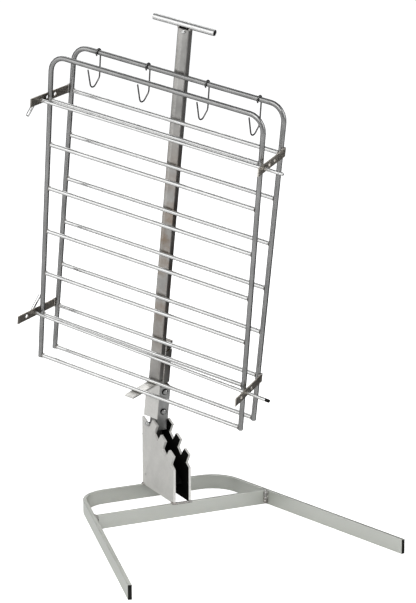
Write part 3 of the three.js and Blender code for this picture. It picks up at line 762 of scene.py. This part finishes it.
class RACK_OT_bracket(bpy.types.Operator):
    """Finish the two toothed plates and the web between them"""

    bl_idname = "rack.bracket"
    bl_label = "Bracket"

    def execute(self, context):
        sizes = context.scene.rack_sizes
        for node in ("left_toothed_plate", "right_toothed_plate"):
            # The plates' inner faces and the whole web take near-black painted shade, as dark as the shade inside
            # the bracket
            rounded(node, plate_steel, sizes.plate_round, shade_black_steel, looks_inward)
        rounded("stop_web", shade_black_steel, sizes.plate_round)
        bar_low, bar_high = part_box("cross_bar")
        bar_depth = bar_high.y - bar_low.y
        bead = sizes.weld_bead
        step = bead * BRACKET_GAP
        runs = []
        for node, side in (("left_toothed_plate", -1), ("right_toothed_plate", 1)):
            low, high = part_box(node)
            x = low.x if side < 0 else high.x
            for start, end in ((bar_low.y, bar_high.y), (high.y - bar_depth, high.y)):
                runs.append((line_points((x, start, low.z), (x, end, low.z), step), bead))
        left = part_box("left_toothed_plate")[0]
        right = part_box("right_toothed_plate")[1]
        # The side runs already have a bead on each corner
        front = line_points(left, (right.x, left.y, left.z), step)
        runs.append((front[1:-1], bead))
        weld("bracket_welds", "base", UPRIGHT, runs)
        return {"FINISHED"}


class RACK_OT_foot(bpy.types.Operator):
    """Finish the leaning foot with its pin, bolts, shaft and washer"""

    bl_idname = "rack.foot"
    bl_label = "Foot"

    def execute(self, context):
        sizes = context.scene.rack_sizes
        for node in ("foot_tube", "foot_cap", "foot_tongue"):
            rounded(node, foot_steel, sizes.plate_round)
        for node in ("cross_pin", "pin_clip", "swivel_shaft"):
            rounded(node, pin_steel, sizes.rod_round / 3)
        for node in ("foot_bolt_lower", "foot_bolt_upper"):
            # The faces behind each bolt's domed head take near-black painted shade round the head
            rounded(node, grid_bar_steel, sizes.rod_round / 3, shade_black_steel, is_flange)
        rounded("thrust_washer", bearing_bronze, sizes.rod_round / 2)
        return {"FINISHED"}


class RACK_OT_mast(bpy.types.Operator):
    """Finish the mast, its bearing, guard, rest tab and handle"""

    bl_idname = "rack.mast"
    bl_label = "Mast"

    def execute(self, context):
        sizes = context.scene.rack_sizes
        for node in ("mast_tube", "bearing_tube", "bearing_cap"):
            rounded(node, mast_steel, sizes.plate_round)
        for node in ("lower_bush", "upper_bush"):
            rounded(node, bearing_bronze, sizes.rod_round / 2)
        for node in ("front_plate", "rest_tab"):
            rounded(node, guard_steel, sizes.plate_round)
        for node in ("t_handle", "handle_bolt"):
            rounded(node, pin_steel, sizes.rod_round / 2)
        return {"FINISHED"}


class RACK_OT_mast_welds(bpy.types.Operator):
    """Lay the welds that hold the bearing, guard, tab, handle and back grid to the mast"""

    bl_idname = "rack.mast_welds"
    bl_label = "Mast welds"

    def execute(self, context):
        bead = context.scene.rack_sizes.weld_bead
        low, high = box_in("mast_tube", MAST)
        bearing_top = box_in("bearing_tube", MAST)[1].z
        cap_low, cap_high = box_in("bearing_cap", MAST)
        tab_low, tab_high = box_in("rest_tab", MAST)
        guard_right = box_in("front_plate", MAST)[1].x
        bearing_share = 0.93  # of the mast's half width, where the bearing's weld lies
        seat_reach = 0.005
        tab_reach = 0.004
        guard_inset = 0.006
        guard_reach = 0.004
        rod_gap = 0.004
        rod_inset = 0.002
        proud = 0.0006  # how far the rods' welds stand off the mast
        runs = []

        def lay(start, end, share=1.0):
            runs.append((line_points(start, end, bead * GAP), bead * share))

        for x in (low.x, high.x):
            inner = x * bearing_share
            for bottom, top in ((low.z, bearing_top), (cap_low.z, cap_high.z)):
                lay((inner, high.y, bottom), (inner, high.y, top), 0.9)
            seat = (low.y + high.y) / 2
            lay((x, seat - seat_reach, high.z), (x, seat + seat_reach, high.z))
        lay((tab_low.x, tab_high.y, tab_low.z), (tab_high.x, tab_high.y, tab_low.z))
        lay((tab_low.x, low.y, tab_low.z), (tab_low.x, low.y + tab_reach, tab_low.z), 0.8)
        neck = guard_right - guard_inset
        lay((neck, low.y, low.z), (neck + guard_reach, low.y, low.z), 0.8)
        for name in ROD_NAMES[:-1]:
            z = box_in(f"back_{name}", MAST)[0].z
            y = low.y - proud
            for side in (-1, 1):
                lay((side * rod_gap, y, z), (side * (high.x - rod_inset), y, z), 0.7)
        weld("mast_welds", "mast", MAST, runs)
        return {"FINISHED"}


class RACK_OT_back_grid(bpy.types.Operator):
    """Finish the fixed back grid and its rod welds"""

    bl_idname = "rack.back_grid"
    bl_label = "Back grid"

    def execute(self, context):
        finish_grid("back", "mast", context.scene.rack_sizes)
        return {"FINISHED"}


class RACK_OT_front_grid(bpy.types.Operator):
    """Finish the loose front grid and its rod welds"""

    bl_idname = "rack.front_grid"
    bl_label = "Front grid"

    def execute(self, context):
        finish_grid("front", "front_grid", context.scene.rack_sizes)
        return {"FINISHED"}


def finish_grid(grid, body, sizes):
    """Smooth bars, bright rods and a ring of beads at each rod end."""
    rounded(f"{grid}_frame", grid_bar_steel, sizes.rod_round)
    for name in ROD_NAMES:
        rounded(f"{grid}_{name}", rod_steel, sizes.rod_round / 2)
    weld(f"{grid}_grid_welds", body, MAST, rod_end_runs(grid, ROD_NAMES, sizes.rod_weld))


class RACK_OT_strips(bpy.types.Operator):
    """Finish the four drilled strips and weld them to the back grid"""

    bl_idname = "rack.strips"
    bl_label = "Strips"

    def execute(self, context):
        sizes = context.scene.rack_sizes
        bead = sizes.weld_bead
        step = bead * GAP
        bar_low, bar_high = box_in("back_frame", MAST)
        bar_inset = 0.001
        strip_inset = 0.002
        runs = []
        for side, make, x in (
            ("left", strip_steel, bar_low.x),
            ("right", clean_strip_steel, bar_high.x),
        ):
            for level in ("top", "bottom"):
                node = f"{side}_{level}_strip"
                rounded(node, make, sizes.plate_round)
                low, high = box_in(node, MAST)
                bottom = low.z + strip_inset
                top = high.z - strip_inset
                for y in (bar_high.y - bar_inset, bar_low.y + bar_inset):
                    runs.append((line_points((x, y, bottom), (x, y, top), step), bead * 0.8))
                over = line_points((x, bar_low.y, high.z), (x, bar_high.y, high.z), step)
                runs.append((over, bead * 0.9))
        weld("strip_welds", "mast", MAST, runs)
        return {"FINISHED"}


class RACK_OT_locks(bpy.types.Operator):
    """Finish the two locking rods and their tips, the bottom tip painted near-black as shade on the rod's end"""

    bl_idname = "rack.locks"
    bl_label = "Locking rods"

    def execute(self, context):
        sizes = context.scene.rack_sizes
        rounded("top_locking_rod", rod_steel, sizes.rod_round)
        rounded("top_rod_cap", rod_steel, sizes.rod_round / 2)
        rounded("bottom_locking_rod", rod_steel, sizes.rod_round)
        # The bottom tip is near-black: painted shade on the rod's end
        rounded("bottom_rod_cap", shade_black_steel, sizes.rod_round / 2)
        return {"FINISHED"}


class RACK_OT_hooks(bpy.types.Operator):
    """Finish the hooks that hang on the top bar"""

    bl_idname = "rack.hooks"
    bl_label = "Hooks"

    def execute(self, context):
        for i in range(HOOK_COUNT):
            rounded(f"hook_{i + 1}", hook_wire_steel, context.scene.rack_sizes.rod_round / 2)
        return {"FINISHED"}


class RACK_OT_stage(bpy.types.Operator):
    """Make the floor, the soft lights and the camera"""

    bl_idname = "rack.stage"
    bl_label = "Stage"

    def execute(self, context):
        stage = context.scene.rack_stage
        context.scene.view_settings.view_transform = "Standard"
        floor_plane(stage)
        surround(stage)
        for name, place, side, power in LIGHTS:
            soft_light(name, place, side, power)
        for name, place, size, tilt, turn in DARK_CARDS:
            dark_card(name, place, size, tilt, turn)
        camera(stage)
        return {"FINISHED"}


def floor_plane(stage):
    """A wide pale floor, which glows where the camera sees it."""
    bm = bmesh.new()
    bmesh.ops.create_grid(bm, x_segments=1, y_segments=1, size=FLOOR_REACH)
    mesh = bpy.data.meshes.new("floor")
    bm.to_mesh(mesh)
    bm.free()
    material = bpy.data.materials.new("floor_paper")
    material.use_nodes = True
    nodes = material.node_tree.nodes
    links = material.node_tree.links
    shader = nodes["Principled BSDF"]
    shader.inputs["Base Color"].default_value = (*stage.floor, 1.0)
    shader.inputs["Roughness"].default_value = FLOOR_ROUGHNESS
    seen = nodes.new("ShaderNodeLightPath").outputs["Is Camera Ray"]
    glow = blended(nodes, links, seen, BLACK, WHITE)
    links.new(glow, shader.inputs["Emission Color"])
    shader.inputs["Emission Strength"].default_value = stage.floor_glow
    mesh.materials.append(material)
    floor = bpy.data.objects.new("floor", mesh)
    bpy.context.scene.collection.objects.link(floor)


def surround(stage):
    """Even dim light from all round, white where the camera sees it."""
    world = bpy.data.worlds.new("studio")
    world.use_nodes = True
    nodes = world.node_tree.nodes
    links = world.node_tree.links
    background = nodes["Background"]
    dim = (*(channel * stage.surround_strength for channel in stage.surround), 1.0)
    seen = nodes.new("ShaderNodeLightPath").outputs["Is Camera Ray"]
    links.new(blended(nodes, links, seen, dim, WHITE), background.inputs["Color"])
    background.inputs["Strength"].default_value = 1.0
    bpy.context.scene.world = world


def soft_light(name, place, size, power):
    """A square area light that looks at the middle of the rack."""
    lamp = bpy.data.lights.new(name, "AREA")
    lamp.shape = "SQUARE"
    lamp.size = size
    lamp.energy = power
    light = bpy.data.objects.new(name, lamp)
    light.location = place
    light.rotation_euler = (LIT_POINT - Vector(place)).to_track_quat("-Z", "Y").to_euler()
    bpy.context.scene.collection.objects.link(light)


def dark_card(name, place, size, tilt, turn):
    """A dark card, tilted up and turned, that shows only in reflections."""
    bm = bmesh.new()
    bmesh.ops.create_grid(bm, x_segments=1, y_segments=1, size=0.5)
    bmesh.ops.scale(bm, vec=(size[0], size[1], 1), verts=bm.verts)
    bmesh.ops.rotate(bm, matrix=Matrix.Rotation(math.radians(tilt), 3, "X"), verts=bm.verts)
    bmesh.ops.rotate(bm, matrix=Matrix.Rotation(math.radians(turn), 3, "Z"), verts=bm.verts)
    bmesh.ops.translate(bm, vec=place, verts=bm.verts)
    mesh = bpy.data.meshes.new(name)
    bm.to_mesh(mesh)
    bm.free()
    material = bpy.data.materials.new(f"{name}_cloth")
    material.use_nodes = True
    shader = material.node_tree.nodes["Principled BSDF"]
    shader.inputs["Base Color"].default_value = CARD_COLOUR
    mesh.materials.append(material)
    card = bpy.data.objects.new(name, mesh)
    card.visible_camera = False
    card.visible_diffuse = False
    card.visible_shadow = False
    bpy.context.scene.collection.objects.link(card)


def camera(stage):
    """The camera, turned to the right and tilted down, aimed at the middle of the rack."""
    lens = bpy.data.cameras.new("camera")
    lens.sensor_fit = "VERTICAL"
    lens.sensor_height = SENSOR_HEIGHT
    lens.lens = stage.lens
    view = bpy.data.objects.new("camera", lens)
    turned = Euler((math.pi / 2 - stage.pitch, 0.0, -stage.turn))
    view.rotation_euler = turned
    view.location = Vector(stage.aim) + turned.to_matrix() @ Vector((0, 0, stage.distance))
    bpy.context.scene.collection.objects.link(view)
    bpy.context.scene.camera = view


OPERATORS = (
    RACK_OT_stage,
    RACK_OT_base,
    RACK_OT_bracket,
    RACK_OT_foot,
    RACK_OT_mast,
    RACK_OT_mast_welds,
    RACK_OT_back_grid,
    RACK_OT_front_grid,
    RACK_OT_strips,
    RACK_OT_locks,
    RACK_OT_hooks,
)


class RACK_PT_panel(bpy.types.Panel):
    """Lists the rack's pieces, sizes and colours"""

    bl_idname = "RACK_PT_panel"
    bl_label = "Roasting rack"
    bl_space_type = "VIEW_3D"
    bl_region_type = "UI"
    bl_category = "Roasting rack"

    def draw(self, context):
        layout = self.layout
        scene = context.scene
        for group in (scene.rack_sizes, scene.rack_colours, scene.rack_stage):
            column = layout.column()
            for name in group.__annotations__:
                column.prop(group, name)
        for operator in OPERATORS:
            layout.operator(operator.bl_idname)


CLASSES = (RackSizes, RackColours, RackStage, *OPERATORS, RACK_PT_panel)


def register():
    for item in CLASSES:
        bpy.utils.register_class(item)
    bpy.types.Scene.rack_sizes = PointerProperty(type=RackSizes)
    bpy.types.Scene.rack_colours = PointerProperty(type=RackColours)
    bpy.types.Scene.rack_stage = PointerProperty(type=RackStage)


def unregister():
    del bpy.types.Scene.rack_stage
    del bpy.types.Scene.rack_colours
    del bpy.types.Scene.rack_sizes
    for item in reversed(CLASSES):
        bpy.utils.unregister_class(item)


def main():
    """Registers the add-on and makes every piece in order."""
    register()
    for operator in OPERATORS:
        group, name = operator.bl_idname.split(".")
        getattr(getattr(bpy.ops, group), name)()


if __name__ == "__main__":
    main()
